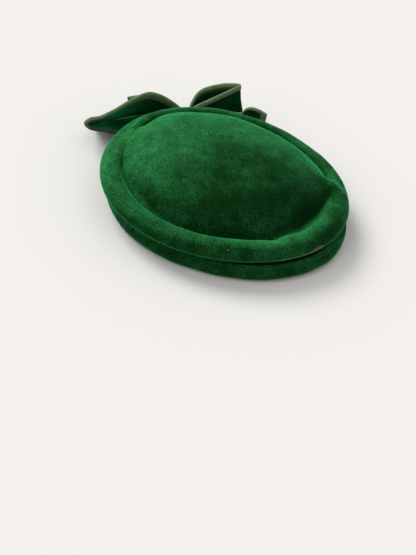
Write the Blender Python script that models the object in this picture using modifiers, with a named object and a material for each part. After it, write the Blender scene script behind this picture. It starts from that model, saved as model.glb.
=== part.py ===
"""Pancake hat of green velour felt with a ribbon-bound felt bow at the back.

Lengths are in metres. The bow is at +Y, the front of the hat is at -Y and the hat
rests on the flat ring under its brim at Z = 0.
"""
import math

import bmesh
import bpy
import numpy as np
from mathutils import Matrix

# Sizes of the hat body
HALF_LENGTH = 0.1254
HALF_WIDTH = 0.1191
OVAL_TURN = math.radians(-25.5)
EGG_COS_SHARE = 0.0168
EGG_SIN_SHARE = -0.0078
FELT = 0.0022
GAP = 0.0003
ROLL_HEIGHT = 0.0300
DOME_HEIGHT = 0.0660
BRIM_SHARE = 0.615
HEAD_RADIUS = 0.0850
TURNED_EDGE = 0.0075

# Sizes of the bow
BOW_FELT = 0.0016
BOW_WIDE = 0.1200
BOW_DEEP = 0.0300
BOW_HIGH = 0.0600
RIBBON = 0.0005
RIBBON_REACH = 0.0042
KNOT_SHIFT = -0.0025
KNOT_LENGTH = 0.0080
KNOT_DEEP = 0.0114
KNOT_TALL = 0.0186
KNOT_CORNER_SHARE = 0.22
LAYER_STEP = 0.0037

# Numbers of steps
AROUND = 48
STRIP_STEPS = 2
ACROSS = 3

# One row for each direction seen from above, 0 at +X and 90 at the bow.
# foot: edge of the dome as a share of the outer radius
# floor: height of the groove as a share of the roll height
# half_w, half_h: half width and half height of the roll as shares of the roll height
# reach: outer radius of the brim as a share of the outer radius of the crown
# shoulder: fullness of the dome's edge
# filled: how far the groove is filled up, from 0 to 1
BODY_TABLE = (
    # angle, foot, floor, half_w, half_h, reach, shoulder, filled
    (0, 0.875, 0.97, 0.22, 0.28, 1.000, 0.78, 0.05),
    (30, 0.830, 0.87, 0.25, 0.28, 0.990, 0.95, 0.00),
    (60, 0.815, 0.83, 0.27, 0.29, 0.970, 1.05, 0.00),
    (90, 0.825, 0.83, 0.28, 0.30, 0.955, 1.10, 0.00),
    (115, 0.875, 0.89, 0.26, 0.30, 0.937, 1.32, 0.10),
    (140, 0.860, 0.96, 0.28, 0.31, 0.929, 1.25, 0.45),
    (165, 0.815, 0.97, 0.33, 0.31, 0.928, 1.10, 0.40),
    (185, 0.770, 0.95, 0.36, 0.31, 0.928, 1.00, 0.10),
    (210, 0.745, 0.90, 0.38, 0.31, 0.933, 0.95, 0.00),
    (240, 0.745, 0.88, 0.38, 0.31, 0.955, 1.00, 0.00),
    (270, 0.735, 0.88, 0.39, 0.31, 1.005, 1.00, 0.00),
    (300, 0.695, 0.86, 0.40, 0.32, 1.032, 1.00, 0.00),
    (317, 0.720, 0.88, 0.40, 0.31, 1.032, 0.90, 0.10),
    (332, 0.790, 0.98, 0.36, 0.31, 1.022, 0.80, 0.50),
    (345, 0.870, 1.05, 0.27, 0.30, 1.010, 0.74, 1.00),
    (353, 0.880, 1.00, 0.235, 0.29, 1.004, 0.76, 0.85),
)

# Dome profile: share of the foot radius, share of the dome's rise
DOME_PROFILE = (
    (0.00, 1.000),
    (0.26, 0.985),
    (0.50, 0.935),
    (0.68, 0.845),
    (0.81, 0.700),
    (0.91, 0.480),
    (0.97, 0.240),
    (1.00, 0.050),
)

# Place in the dome profile where a filled groove starts
FILL_START = 4

# Roll section: directions in degrees from its outermost point
ROLL_DIRECTIONS = (150, 120, 90, 60, 30, 0, -30, -60, -90, -118)

# Loops and left tail: x as a share of BOW_WIDE, y from the knot as a share of
# BOW_DEEP, z as a share of BOW_HIGH, first for the upper edge, then for the other.
RIGHT_LOOP = (
    # x_up, y_up, z_up, x_low, y_low, z_low
    (-0.016, 0.000, 0.340, -0.016, 0.000, 0.077),
    (0.018, 0.000, 0.347, 0.018, 0.000, 0.077),
    (0.038, -0.010, 0.458, 0.050, -0.010, 0.077),
    (0.100, -0.030, 0.555, 0.125, -0.040, 0.080),
    (0.225, -0.080, 0.713, 0.283, -0.090, 0.125),
    (0.350, -0.123, 0.872, 0.425, -0.133, 0.203),
    (0.421, -0.140, 0.958, 0.500, -0.147, 0.258),
    (0.447, -0.080, 0.977, 0.522, -0.073, 0.273),
    (0.425, -0.013, 0.972, 0.504, 0.013, 0.270),
    (0.358, 0.113, 0.935, 0.425, 0.130, 0.208),
    (0.283, 0.213, 0.867, 0.333, 0.197, 0.150),
    (0.155, 0.280, 0.737, 0.175, 0.280, 0.092),
    (0.092, 0.263, 0.595, 0.100, 0.247, 0.080),
    (0.053, 0.213, 0.450, 0.053, 0.200, 0.077),
    (0.022, 0.130, 0.347, 0.022, 0.127, 0.077),
    (-0.016, 0.123, 0.340, -0.016, 0.123, 0.077),
)
LEFT_LOOP = (
    # x_up, y_up, z_up, x_low, y_low, z_low
    (-0.026, 0.000, 0.340, -0.026, 0.000, 0.077),
    (-0.060, 0.000, 0.347, -0.060, 0.000, 0.077),
    (-0.075, 0.000, 0.467, -0.083, 0.080, 0.085),
    (-0.188, -0.020, 0.645, -0.183, 0.297, 0.158),
    (-0.296, -0.110, 0.785, -0.288, 0.447, 0.195),
    (-0.400, -0.243, 0.877, -0.392, 0.513, 0.192),
    (-0.488, -0.353, 0.868, -0.483, 0.480, 0.183),
    (-0.600, -0.487, 0.790, -0.596, 0.397, 0.167),
    (-0.733, -0.653, 0.668, -0.667, 0.297, 0.158),
    (-0.863, -0.787, 0.578, -0.767, 0.247, 0.147),
    (-0.950, -0.853, 0.570, -0.817, 0.197, 0.143),
    (-0.995, -0.880, 0.490, -0.842, 0.180, 0.100),
    (-0.950, -0.877, 0.385, -0.808, 0.270, 0.058),
    (-0.875, -0.943, 0.360, -0.758, 0.380, 0.062),
    (-0.808, -0.980, 0.353, -0.717, 0.450, 0.065),
    (-0.717, -0.937, 0.285, -0.642, 0.530, 0.067),
    (-0.517, -0.637, 0.200, -0.517, 0.710, 0.077),
    (-0.333, -0.370, 0.208, -0.350, 0.630, 0.077),
    (-0.183, -0.203, 0.283, -0.208, 0.247, 0.072),
    (-0.080, -0.123, 0.333, -0.083, -0.113, 0.077),
    (-0.026, -0.123, 0.340, -0.026, -0.123, 0.077),
)
LEFT_TAIL = (
    # x_up, y_up, z_up, x_low, y_low, z_low
    (-0.026, 0.123, 0.340, -0.026, 0.123, 0.077),
    (-0.060, 0.127, 0.343, -0.060, 0.133, 0.077),
    (-0.108, 0.247, 0.425, -0.117, 0.513, 0.083),
    (-0.208, 0.380, 0.542, -0.208, 0.813, 0.092),
    (-0.350, 0.413, 0.600, -0.325, 1.080, 0.133),
    (-0.450, 0.397, 0.600, -0.392, 1.147, 0.153),
    (-0.550, 0.363, 0.580, -0.454, 1.147, 0.158),
)
# Right tail: degrees from the back towards +X, distance outside the crown as a
# share of LAYER_STEP, heights of both edges as shares of BOW_HIGH.
RIGHT_TAIL = (
    # turn, out, z_up, z_low
    (-0.9, 1.22, 0.340, 0.077),
    (1.0, 1.22, 0.347, 0.077),
    (4.0, 1.10, 0.460, 0.075),
    (11.0, 0.66, 0.575, 0.070),
    (19.0, 0.44, 0.645, 0.070),
    (27.0, 0.34, 0.690, 0.070),
    (33.0, 0.44, 0.727, 0.072),
    (37.3, 0.62, 0.712, 0.075),
)


def outer_radius(angle):
    """Radius of the crown seen from above, a slightly egg-shaped oval."""
    turn = angle - OVAL_TURN
    oval = 1.0 / math.hypot(math.cos(turn) / HALF_LENGTH, math.sin(turn) / HALF_WIDTH)
    return oval * (1.0 + EGG_COS_SHARE * math.cos(3 * turn) + EGG_SIN_SHARE * math.sin(3 * turn))


def blend_points(before, start, end, after, share):
    """Smooth curve value between start and end."""
    return 0.5 * (
        2 * start
        + (end - before) * share
        + (2 * before - 5 * start + 4 * end - after) * share ** 2
        + (3 * start - before - 3 * end + after) * share ** 3
    )


def body_row(angle):
    """Values of the body table at any direction, blended smoothly round the hat."""
    degrees = math.degrees(angle) % 360.0
    table = np.array(BODY_TABLE, float)
    around = np.vstack([table[-2:], table, table[:2]])
    around[:2, 0] -= 360.0
    around[-2:, 0] += 360.0
    index = int(np.searchsorted(around[:, 0], degrees, side="right")) - 1
    before, start, end, after = around[index - 1:index + 3]
    gap = end[0] - start[0]
    share = (degrees - start[0]) / gap
    rise_start = (end - before) / (end[0] - before[0]) * gap
    rise_end = (after - start) / (after[0] - start[0]) * gap
    value = (
        (2 * share ** 3 - 3 * share ** 2 + 1) * start
        + (share ** 3 - 2 * share ** 2 + share) * rise_start
        + (3 * share ** 2 - 2 * share ** 3) * end
        + (share ** 3 - share ** 2) * rise_end
    )
    return value[1:]


def smooth_curve(points, steps):
    """Smooth curve through the points, with the same number of steps between each pair."""
    points = np.asarray(points, float)
    ends = np.vstack([2 * points[0] - points[1], points, 2 * points[-1] - points[-2]])
    fine = []
    for index in range(len(points) - 1):
        for step in range(steps):
            fine.append(blend_points(*ends[index:index + 4], step / steps))
    return np.array(fine + [points[-1]])


def fill_groove(points, filled):
    """Raises the groove towards the straight slope from the dome to the top of the roll."""
    filled = min(max(filled, 0.0), 1.0)
    first = FILL_START
    last = len(DOME_PROFILE) + 1 + ROLL_DIRECTIONS.index(90)
    for index in range(first + 1, last):
        share = (index - first) / (last - first)
        for axis in (0, 1):
            level = points[first][axis] + share * (points[last][axis] - points[first][axis])
            points[index][axis] += filled * (level - points[index][axis])


def crown_section(angle):
    """Outer side of the crown from its middle to the edge turned under the roll."""
    foot, floor, half_w, half_h, _, shoulder, filled = body_row(angle)
    radius = outer_radius(angle)
    half_w *= ROLL_HEIGHT
    half_h *= ROLL_HEIGHT
    floor *= ROLL_HEIGHT
    foot *= radius
    centre = radius - half_w
    points = []
    for share, rise in DOME_PROFILE:
        height = floor + (DOME_HEIGHT - floor) * rise ** (1.0 / shoulder)
        points.append([share * foot, height])
    inner = centre + half_w * math.cos(math.radians(ROLL_DIRECTIONS[0]))
    points.append([0.5 * (foot + inner), floor])
    for direction in ROLL_DIRECTIONS:
        turn = math.radians(direction)
        height = ROLL_HEIGHT + half_h * math.sin(turn)
        points.append([centre + half_w * math.cos(turn), height])
    fill_groove(points, filled)
    seat = BRIM_SHARE * ROLL_HEIGHT + GAP
    points.append((centre - 0.5 * half_w - 0.5 * TURNED_EDGE, seat + 0.2 * GAP))
    points.append((centre - 0.5 * half_w - TURNED_EDGE, seat))
    return np.array(points)


def brim_section(angle):
    """Outer side of the brim from under the roll, round its fold, to the head opening."""
    _, _, half_w, _, reach, _, _ = body_row(angle)
    radius = outer_radius(angle)
    half_w *= ROLL_HEIGHT
    outer = radius * reach
    top = BRIM_SHARE * ROLL_HEIGHT
    return np.array([
        (radius - 1.5 * half_w - TURNED_EDGE, top),
        (radius - 1.3 * half_w, top),
        (outer - 0.30 * top, 0.92 * top),
        (outer - 0.12 * top, 0.80 * top),
        (outer - 0.02 * top, 0.62 * top),
        (outer, 0.44 * top),
        (outer - 0.05 * top, 0.26 * top),
        (outer - 0.20 * top, 0.09 * top),
        (outer - 0.44 * top, 0.0),
        (outer - 0.80 * top, 0.0),
        (outer - 1.25 * top, 0.05 * top),
        (HEAD_RADIUS * outer / HALF_LENGTH, 0.22 * top),
    ])


def ring_sheet(section, pole):
    """Sheet swept round the hat from its changing section, closed in the middle by a pole."""
    sections = [section(2 * math.pi * step / AROUND) for step in range(AROUND)]
    first = 1 if pole else 0
    count = len(sections[0]) - first
    verts = []
    for step, points in enumerate(sections):
        angle = 2 * math.pi * step / AROUND
        for radius, height in points[first:]:
            verts.append((radius * math.cos(angle), radius * math.sin(angle), height))
    faces = []
    for step in range(AROUND):
        here = step * count
        after = (step + 1) % AROUND * count
        for index in range(count - 1):
            faces.append((here + index, here + index + 1, after + index + 1, after + index))
    if pole:
        verts.append((0.0, 0.0, sections[0][0][1]))
        for step in range(AROUND):
            faces.append((len(verts) - 1, step * count, (step + 1) % AROUND * count))
    return verts, faces


def loft(sections):
    """Solid through a row of sections that have the same number of points."""
    sections = np.asarray(sections, float)
    rows, count, _ = sections.shape
    faces = []
    for row in range(rows - 1):
        here = row * count
        for index in range(count):
            after = (index + 1) % count
            faces.append((here + index, here + after, here + count + after, here + count + index))
    faces.append(tuple(reversed(range(count))))
    faces.append(tuple((rows - 1) * count + index for index in range(count)))
    return sections.reshape(-1, 3), faces


def unit(vectors):
    """Vectors scaled to length one."""
    return vectors / np.linalg.norm(vectors, axis=-1, keepdims=True)


def knot_middle():
    """Distance of the knot's middle from the middle of the hat."""
    return outer_radius(math.radians(90)) + GAP + FELT + 0.5 * KNOT_DEEP


def loop_edges(table):
    """Both edges of a bow strip, from the shares in its table."""
    points = np.array(table, float) * ([BOW_WIDE, BOW_DEEP, BOW_HIGH] * 2)
    points[:, [1, 4]] += knot_middle()
    curve = smooth_curve(points, STRIP_STEPS)
    return curve[:, :3], curve[:, 3:]


def rim_edges(table):
    """Both edges of a bow strip that follows the back of the crown."""
    upper = []
    lower = []
    for turn, out, z_up, z_low in table:
        angle = math.radians(90 - turn)
        radius = outer_radius(angle) + out * LAYER_STEP
        x = radius * math.cos(angle)
        y = radius * math.sin(angle)
        upper.append((x, y, z_up * BOW_HIGH))
        lower.append((x, y, z_low * BOW_HIGH))
    curve = smooth_curve(np.hstack([upper, lower]), STRIP_STEPS)
    return curve[:, :3], curve[:, 3:]


def strip_frame(upper, lower):
    """Directions along a strip at both edges, and the strip's normal at every station."""
    along = unit(np.gradient(0.5 * (upper + lower), axis=0))
    across = unit(lower - upper)
    normal = unit(np.cross(along, across))
    return along, across, normal


def felt_strip(upper, lower):
    """Solid strip of bow felt between its two edges."""
    _, _, normal = strip_frame(upper, lower)
    half = 0.5 * BOW_FELT * normal
    shares = np.linspace(0.0, 1.0, ACROSS + 1)
    sections = []
    for up, low, side in zip(upper, lower, half):
        line = [up + share * (low - up) for share in shares]
        sections.append([point + side for point in line] + [point - side for point in reversed(line)])
    return loft(sections)


def folded_ribbon(points, inward, normal):
    """Ribbon folded over an edge: a U-shaped section at each point of the edge."""
    inner = 0.5 * BOW_FELT + GAP
    outer = inner + RIBBON
    shape = (
        (RIBBON_REACH, outer),
        (-GAP - RIBBON, outer),
        (-GAP - RIBBON, -outer),
        (RIBBON_REACH, -outer),
        (RIBBON_REACH, -inner),
        (-GAP, -inner),
        (-GAP, inner),
        (RIBBON_REACH, inner),
    )
    sections = []
    for point, side, face in zip(points, inward, normal):
        sections.append([point + depth * side + height * face for depth, height in shape])
    return loft(sections)


def clear_of_knot(points):
    """Keeps the stations of an edge that lie outside the knot."""
    return np.abs(points[:, 0] - KNOT_SHIFT) > 0.5 * KNOT_LENGTH + RIBBON + 3 * GAP


def loop_binding(edge, other, normal):
    """Ribbon along one edge of a loop, from one side of the knot round to the other."""
    keep = clear_of_knot(edge)
    inward = unit(other - edge)
    return folded_ribbon(edge[keep], inward[keep], normal[keep])


def tail_binding(upper, lower):
    """Ribbon along the upper edge of a tail, down its end and back along the lower edge."""
    along, across, normal = strip_frame(upper, lower)
    spare = RIBBON_REACH + GAP + 2 * RIBBON
    from_end = np.linalg.norm(upper - upper[-1], axis=1)
    keep = clear_of_knot(upper) & (from_end > spare)
    end = along[-1]
    width = np.linalg.norm(lower[-1] - upper[-1])
    points = list(upper[keep])
    inward = list(across[keep])
    faces = list(normal[keep])
    for share in (0.0, spare / width, 0.5, 1.0 - spare / width, 1.0):
        points.append(upper[-1] + share * (lower[-1] - upper[-1]))
        side = -end
        if share == 0.0:
            side = side + across[-1]
        if share == 1.0:
            side = side - across[-1]
        inward.append(side)
        faces.append(normal[-1])
    points.extend(lower[keep][::-1])
    inward.extend(-across[keep][::-1])
    faces.extend(normal[keep][::-1])
    return folded_ribbon(np.array(points), np.array(inward), np.array(faces))


def knot_sheet():
    """Short band of felt round the gathered strips, before it is thickened."""
    corner = KNOT_CORNER_SHARE * KNOT_DEEP
    half_y = 0.5 * KNOT_DEEP
    half_z = 0.5 * KNOT_TALL
    centre_z = half_z + FELT + GAP
    path = []
    for quarter in range(4):
        side_y = (1, -1, -1, 1)[quarter]
        side_z = (1, 1, -1, -1)[quarter]
        for step in range(4):
            turn = math.radians(90 * quarter + 30 * step)
            y = side_y * (half_y - corner) + corner * math.cos(turn)
            z = side_z * (half_z - corner) + corner * math.sin(turn)
            path.append((knot_middle() + y, centre_z + z))
    verts = []
    faces = []
    for y, z in path:
        for step in range(3):
            x = KNOT_SHIFT + (0.5 * step - 0.5) * KNOT_LENGTH
            verts.append((x, y, z))
    count = len(path)
    for place in range(count):
        here = place * 3
        after = (place + 1) % count * 3
        for index in range(2):
            faces.append((here + index, after + index, after + index + 1, here + index + 1))
    return verts, faces


def fabric(name, colour, roughness):
    """Plain cloth surface."""
    material = bpy.data.materials.new(name)
    material.use_nodes = True
    shader = material.node_tree.nodes["Principled BSDF"]
    shader.inputs["Base Color"].default_value = (*colour, 1.0)
    shader.inputs["Roughness"].default_value = roughness
    shader.inputs["Metallic"].default_value = 0.0
    material.diffuse_color = (*colour, 1.0)
    return material


def add_piece(collection, name, shape, material, closed=True):
    """Mesh object; the faces of a closed solid are turned outward."""
    verts, faces = shape
    mesh = bpy.data.meshes.new(name)
    mesh.from_pydata([tuple(vert) for vert in verts], [], faces)
    if closed:
        work = bmesh.new()
        work.from_mesh(mesh)
        bmesh.ops.recalc_face_normals(work, faces=work.faces)
        work.to_mesh(mesh)
        work.free()
    mesh.materials.append(material)
    piece = bpy.data.objects.new(name, mesh)
    collection.objects.link(piece)
    return piece


def thicken(piece, side):
    """Gives a sheet its felt thickness, inward with -1 and outward with 1."""
    shell = piece.modifiers.new("felt_thickness", "SOLIDIFY")
    shell.thickness = FELT
    shell.offset = side


def build_body(collection):
    """Crown and brim."""
    crown = add_piece(
        collection, "crown", ring_sheet(crown_section, True),
        fabric("crown_felt", (0.012, 0.130, 0.050), 0.95), closed=False)
    thicken(crown, -1.0)
    brim = add_piece(
        collection, "brim", ring_sheet(brim_section, False),
        fabric("brim_felt", (0.010, 0.115, 0.045), 0.95), closed=False)
    thicken(brim, -1.0)


def build_bow(collection):
    """Knot, loops, tails and their ribbon edges."""
    knot = add_piece(
        collection, "bow_knot", knot_sheet(),
        fabric("knot_felt", (0.010, 0.110, 0.042), 0.95), closed=False)
    thicken(knot, 1.0)
    for side, table in (("left", LEFT_LOOP), ("right", RIGHT_LOOP)):
        upper, lower = loop_edges(table)
        _, _, normal = strip_frame(upper, lower)
        add_piece(
            collection, "bow_loop_" + side, felt_strip(upper, lower),
            fabric("loop_felt_" + side, (0.011, 0.120, 0.047), 0.95))
        add_piece(
            collection, "loop_binding_upper_" + side, loop_binding(upper, lower, normal),
            fabric("upper_ribbon_" + side, (0.150, 0.200, 0.090), 0.70))
        add_piece(
            collection, "loop_binding_lower_" + side, loop_binding(lower, upper, normal),
            fabric("lower_ribbon_" + side, (0.140, 0.190, 0.085), 0.70))
    left = loop_edges(LEFT_TAIL)
    right = rim_edges(RIGHT_TAIL)
    for side, edges in (("left", left), ("right", right)):
        add_piece(
            collection, "bow_tail_" + side, felt_strip(*edges),
            fabric("tail_felt_" + side, (0.011, 0.125, 0.050), 0.95))
        add_piece(
            collection, "tail_binding_" + side, tail_binding(*edges),
            fabric("tail_ribbon_" + side, (0.145, 0.195, 0.088), 0.70))


def centre_over_origin(collection):
    """Moves every piece so that the middle of the whole hat is over the origin."""
    points = np.array([vert.co for piece in collection.objects for vert in piece.data.vertices])
    middle = 0.5 * (points.min(axis=0) + points.max(axis=0))
    shift = Matrix.Translation((-middle[0], -middle[1], 0.0))
    for piece in collection.objects:
        piece.data.transform(shift)


def build():
    """Clears the scene and makes every piece."""
    for item in list(bpy.data.objects):
        bpy.data.objects.remove(item, do_unlink=True)
    collection = bpy.data.collections.new("pancake_hat")
    bpy.context.scene.collection.children.link(collection)
    build_body(collection)
    build_bow(collection)
    centre_over_origin(collection)


build()
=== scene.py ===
"""Detailed pancake hat of green velour felt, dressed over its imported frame.

Lengths are in metres. The bow is at +Y, the front of the hat is at -Y and the hat
rests on the fold of its brim at Z = 0.
"""

import math

import bmesh
import bpy
import numpy as np
from mathutils import Matrix, Vector, noise
from mathutils.kdtree import KDTree


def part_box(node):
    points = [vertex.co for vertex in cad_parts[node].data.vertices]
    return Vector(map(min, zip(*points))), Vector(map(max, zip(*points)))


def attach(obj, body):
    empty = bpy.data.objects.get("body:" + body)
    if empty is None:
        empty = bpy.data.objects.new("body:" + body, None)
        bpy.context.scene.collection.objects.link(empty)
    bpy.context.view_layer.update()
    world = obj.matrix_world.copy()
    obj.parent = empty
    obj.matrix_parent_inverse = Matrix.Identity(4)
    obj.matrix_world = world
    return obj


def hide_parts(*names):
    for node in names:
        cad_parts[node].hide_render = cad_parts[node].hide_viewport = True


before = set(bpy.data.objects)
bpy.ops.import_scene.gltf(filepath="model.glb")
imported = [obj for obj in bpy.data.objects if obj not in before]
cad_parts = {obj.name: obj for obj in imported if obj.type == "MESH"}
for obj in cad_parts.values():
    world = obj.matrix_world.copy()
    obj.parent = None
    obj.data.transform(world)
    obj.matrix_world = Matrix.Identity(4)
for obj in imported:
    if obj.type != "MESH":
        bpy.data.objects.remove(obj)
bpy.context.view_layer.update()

# Sizes of the hat body
HALF_LENGTH = 0.1254
HALF_WIDTH = 0.1191
OVAL_TURN = math.radians(-25.5)
EGG_COS = 0.0168
EGG_SIN = -0.0078
FELT = 0.0022
GAP = 0.0003
ROLL_HEIGHT = 0.0300
DOME_HEIGHT = 0.0660
BRIM_SHARE = 0.615
HEAD_OPENING = 0.0850
TURNED_EDGE = 0.0075

# Sizes of the bow
BOW_FELT = 0.0016
BOW_WIDE = 0.1200
BOW_DEEP = 0.0300
BOW_HIGH = 0.0600
RIBBON = 0.0005
RIBBON_REACH = 0.0055
WIDE_REACH = 0.0100
SLIM_REACH = 0.0044
NARROW_REACH = 0.0032
TAIL_REACH = 0.0024
BACK_REACH = 0.0066
KNOT_SHIFT = -0.0025
KNOT_LENGTH = 0.0080
KNOT_DEEP = 0.0114
KNOT_TALL = 0.0186
KNOT_CORNER = 0.22
LAYER_STEP = 0.0037

# Soft forms of the bow: pleats at the knot and how far they fade along a strip, height of
# a strip's soft middle, the knot's fold, bulge and distance from the strips inside it
PLEAT = 0.00045
PLEAT_FADE = 0.0220
LOOP_BELLY = {"left": 0.0008, "right": 0.0005}
TAIL_BELLY = 0.0003
KNOT_FOLD = 0.00035
KNOT_BULGE = 0.0004
KNOT_CLEAR = 0.0003

# Ribbons: radius of the bend at a tail's corner, distance over which a loop's upper ribbon
# gets its own reach, and distance over which it changes beyond the loop's tip
TAIL_CORNER = 0.0016
REACH_FADE = 0.0300
TIP_FADE = 0.0120

# Unevenness of the felt, each a fineness of the noise, a height and a seed
CROWN_LUMPS = ((28.0, 0.0009, 1), (75.0, 0.00035, 2))
BRIM_LUMPS = ((30.0, 0.0008, 3), (80.0, 0.0003, 4))
STRIP_LUMPS = (60.0, 0.0005, 6)

# Mesh steps
AROUND = 256
BODY_STEPS = 4
STRIP_STEPS = 8
STRIP_ACROSS = 18
OVAL_STEPS = 48
EDGE_STEPS = 3
KNOT_ACROSS = 14
WELD_DISTANCE = 0.00001

# One row for each direction seen from above, 0 at +X and 90 at the bow.
# foot: edge of the dome as a share of the outer radius
# floor: height of the groove as a share of the roll height
# half_w, half_h: half width and half height of the roll as shares of the roll height
# reach: outer radius of the brim as a share of the outer radius of the crown
# shoulder: fullness of the dome's edge
# filled: how far the groove is filled up, from 0 to 1
BODY_TABLE = (
    # angle, foot, floor, half_w, half_h, reach, shoulder, filled
    (0, 0.875, 0.97, 0.22, 0.28, 1.000, 0.78, 0.05),
    (30, 0.830, 0.87, 0.25, 0.28, 0.990, 0.95, 0.00),
    (60, 0.815, 0.83, 0.27, 0.29, 0.970, 1.05, 0.00),
    (90, 0.825, 0.83, 0.28, 0.30, 0.955, 1.10, 0.00),
    (103, 0.850, 0.86, 0.27, 0.30, 0.946, 1.22, 0.03),
    (115, 0.875, 0.89, 0.26, 0.30, 0.937, 1.32, 0.14),
    (128, 0.870, 0.94, 0.27, 0.30, 0.932, 1.29, 0.62),
    (140, 0.860, 0.96, 0.28, 0.31, 0.929, 1.25, 0.85),
    (152, 0.838, 0.97, 0.30, 0.31, 0.928, 1.18, 0.68),
    (165, 0.815, 0.97, 0.33, 0.31, 0.928, 1.10, 0.48),
    (185, 0.770, 0.95, 0.36, 0.31, 0.928, 1.00, 0.12),
    (210, 0.745, 0.90, 0.38, 0.31, 0.933, 0.95, 0.00),
    (240, 0.745, 0.88, 0.38, 0.31, 0.955, 1.00, 0.00),
    (270, 0.735, 0.88, 0.385, 0.31, 1.005, 1.00, 0.00),
    (281, 0.732, 0.87, 0.365, 0.31, 1.018, 1.00, 0.00),
    (288, 0.708, 0.865, 0.415, 0.32, 1.024, 1.00, 0.00),
    (300, 0.695, 0.86, 0.40, 0.32, 1.032, 1.00, 0.00),
    (317, 0.720, 0.88, 0.40, 0.31, 1.032, 0.90, 0.10),
    (332, 0.790, 0.98, 0.36, 0.31, 1.022, 0.80, 0.50),
    (345, 0.870, 1.05, 0.27, 0.30, 1.010, 0.74, 1.00),
    (353, 0.880, 1.00, 0.235, 0.29, 1.004, 0.76, 0.40),
)

# Dome profile: share of the foot radius, share of the dome's rise
DOME_PROFILE = (
    (0.00, 1.000),
    (0.26, 0.985),
    (0.50, 0.935),
    (0.68, 0.845),
    (0.81, 0.700),
    (0.91, 0.480),
    (0.97, 0.240),
    (1.00, 0.050),
)

# Place in the dome profile where a filled groove starts
FILL_START = 4

# Roll section: directions in degrees from its outermost point
ROLL_DIRECTIONS = (150, 120, 90, 60, 30, 0, -30, -60, -90, -118)

# Brim section: distance in from its outermost point and height, as shares of its height
BRIM_PROFILE = (
    (0.33, 0.85),
    (0.12, 0.80),
    (0.02, 0.62),
    (0.00, 0.44),
    (0.05, 0.26),
    (0.20, 0.09),
    (0.44, 0.00),
    (0.80, 0.00),
    (1.25, 0.05),
)

# Places in the brim section between which the brushed side shows; before the first, on the brim's top
# under the roll, the dark inner felt is painted shade
BRIM_BRUSHED = (1.75, 9)

# How far a cut edge of felt rounds outward, as a share of its half thickness
EDGE_ROUNDING = 0.6

# Creases and dents of the crown felt seen from above, each a line with a soft width
# and a height above the smooth shape.
CREASES = (
    # x0, y0, x1, y1, width, height
    (-0.0655, 0.0680, -0.0760, 0.0545, 0.0030, 0.0012),
    (-0.0760, 0.0545, -0.0880, 0.0245, 0.0030, 0.0014),
    (-0.0880, 0.0245, -0.0942, 0.0080, 0.0030, 0.0012),
    (-0.0942, 0.0080, -0.0965, -0.0060, 0.0030, 0.0007),
    (0.0130, -0.1262, 0.0235, -0.1258, 0.0036, -0.0016),
    (0.0290, -0.1225, 0.0440, -0.1160, 0.0036, 0.0008),
    (0.0175, -0.1073, 0.0520, -0.0938, 0.0018, 0.0008),
    (0.0520, -0.0938, 0.0813, -0.0747, 0.0018, 0.0010),
    (0.0813, -0.0747, 0.0982, -0.0571, 0.0020, 0.0012),
    (0.1040, -0.0470, 0.1095, -0.0570, 0.0036, 0.0008),
    (0.1095, -0.0570, 0.1128, -0.0660, 0.0036, 0.0010),
    (0.1150, -0.0200, 0.1172, -0.0520, 0.0034, -0.0012),
)

# Loops and left tail: x as a share of BOW_WIDE, y from the knot as a share of
# BOW_DEEP, z as a share of BOW_HIGH, first for the upper edge, then for the other.
RIGHT_LOOP = (
    # x_up, y_up, z_up, x_low, y_low, z_low
    (-0.016, 0.000, 0.340, -0.016, 0.000, 0.077),
    (0.018, 0.000, 0.347, 0.018, 0.000, 0.077),
    (0.038, -0.010, 0.458, 0.050, -0.010, 0.077),
    (0.100, -0.030, 0.555, 0.125, -0.040, 0.080),
    (0.225, -0.080, 0.713, 0.283, -0.090, 0.125),
    (0.350, -0.123, 0.872, 0.425, -0.133, 0.203),
    (0.417, -0.140, 0.955, 0.518, -0.147, 0.258),
    (0.439, -0.080, 0.972, 0.543, -0.073, 0.273),
    (0.420, -0.013, 0.968, 0.520, 0.013, 0.270),
    (0.358, 0.113, 0.935, 0.425, 0.130, 0.208),
    (0.283, 0.213, 0.890, 0.333, 0.197, 0.150),
    (0.160, 0.280, 0.800, 0.175, 0.280, 0.092),
    (0.088, 0.263, 0.690, 0.100, 0.247, 0.080),
    (0.050, 0.213, 0.540, 0.053, 0.200, 0.077),
    (0.022, 0.130, 0.347, 0.022, 0.127, 0.077),
    (-0.016, 0.123, 0.340, -0.016, 0.123, 0.077),
)
LEFT_LOOP = (
    # x_up, y_up, z_up, x_low, y_low, z_low
    (-0.026, 0.000, 0.340, -0.026, 0.000, 0.077),
    (-0.060, 0.000, 0.347, -0.060, 0.000, 0.077),
    (-0.075, 0.000, 0.467, -0.083, 0.080, 0.085),
    (-0.188, -0.020, 0.645, -0.183, 0.297, 0.158),
    (-0.296, -0.110, 0.785, -0.288, 0.447, 0.195),
    (-0.400, -0.243, 0.877, -0.392, 0.513, 0.192),
    (-0.488, -0.353, 0.868, -0.483, 0.480, 0.183),
    (-0.600, -0.487, 0.790, -0.596, 0.397, 0.167),
    (-0.733, -0.653, 0.668, -0.667, 0.297, 0.158),
    (-0.863, -0.787, 0.578, -0.767, 0.247, 0.147),
    (-0.950, -0.853, 0.570, -0.817, 0.197, 0.143),
    (-0.995, -0.880, 0.490, -0.842, 0.180, 0.100),
    (-0.950, -0.877, 0.385, -0.808, 0.270, 0.058),
    (-0.875, -0.943, 0.360, -0.758, 0.380, 0.062),
    (-0.808, -0.980, 0.353, -0.717, 0.450, 0.065),
    (-0.717, -0.937, 0.285, -0.642, 0.640, 0.067),
    (-0.517, -0.637, 0.200, -0.517, 0.840, 0.077),
    (-0.333, -0.370, 0.208, -0.350, 0.800, 0.077),
    (-0.183, -0.203, 0.283, -0.208, 0.430, 0.072),
    (-0.080, -0.123, 0.333, -0.083, -0.113, 0.077),
    (-0.026, -0.123, 0.340, -0.026, -0.123, 0.077),
)
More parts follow.
